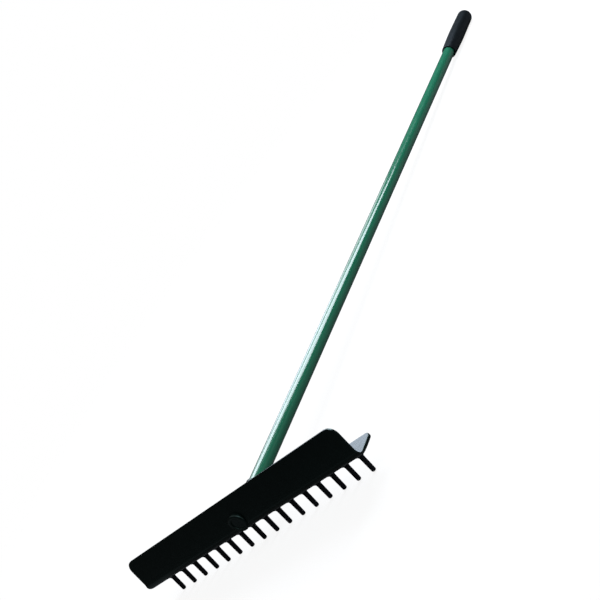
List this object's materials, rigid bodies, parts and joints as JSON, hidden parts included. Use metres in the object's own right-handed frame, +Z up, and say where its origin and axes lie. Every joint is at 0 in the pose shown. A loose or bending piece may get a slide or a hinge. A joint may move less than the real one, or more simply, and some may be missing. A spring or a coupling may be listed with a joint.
{
  "type": "golf bunker rake",
  "caption": "Sand rake for golf bunkers: one moulded head with an upright smoothing blade and a comb of round tines, on a straight tube handle with a closed grip.",
  "frame": {"origin": "Middle of the bounding box's bottom face, on the ground that the rake lies on.", "axes": "+Y along the handle from the head to the grip's end, +Z up from the ground, X along the head."},
  "size_m": [0.572, 1.5834, 0.1027],
  "materials": {
    "head_plastic": "smooth black injection moulding with a soft gloss",
    "tine_plastic": "smooth blue-black moulding with a soft gloss",
    "green_tube": "drawn tube under glossy dark green lacquer",
    "plug_plastic": "uncoloured moulding",
    "grip_vinyl": "smooth black dipped vinyl, satin",
    "zinc_steel": "bright zinc plating"
  },
  "bodies": {
    "root": {"head_moulding": "head_plastic", "tine_01": "tine_plastic", "tine_02": "tine_plastic", "tine_03": "tine_plastic", "tine_04": "tine_plastic", "tine_05": "tine_plastic", "tine_06": "tine_plastic", "tine_07": "tine_plastic", "tine_08": "tine_plastic", "tine_09": "tine_plastic", "tine_10": "tine_plastic", "tine_11": "tine_plastic", "tine_12": "tine_plastic", "tine_13": "tine_plastic", "tine_14": "tine_plastic", "tine_15": "tine_plastic", "tine_16": "tine_plastic", "handle_tube": "green_tube", "tube_plug": "plug_plastic", "handle_grip": "grip_vinyl", "socket_bolt": "zinc_steel", "socket_nut": "zinc_steel", "washer_under_head": "zinc_steel", "washer_under_nut": "zinc_steel"}
  },
  "joints": []
}
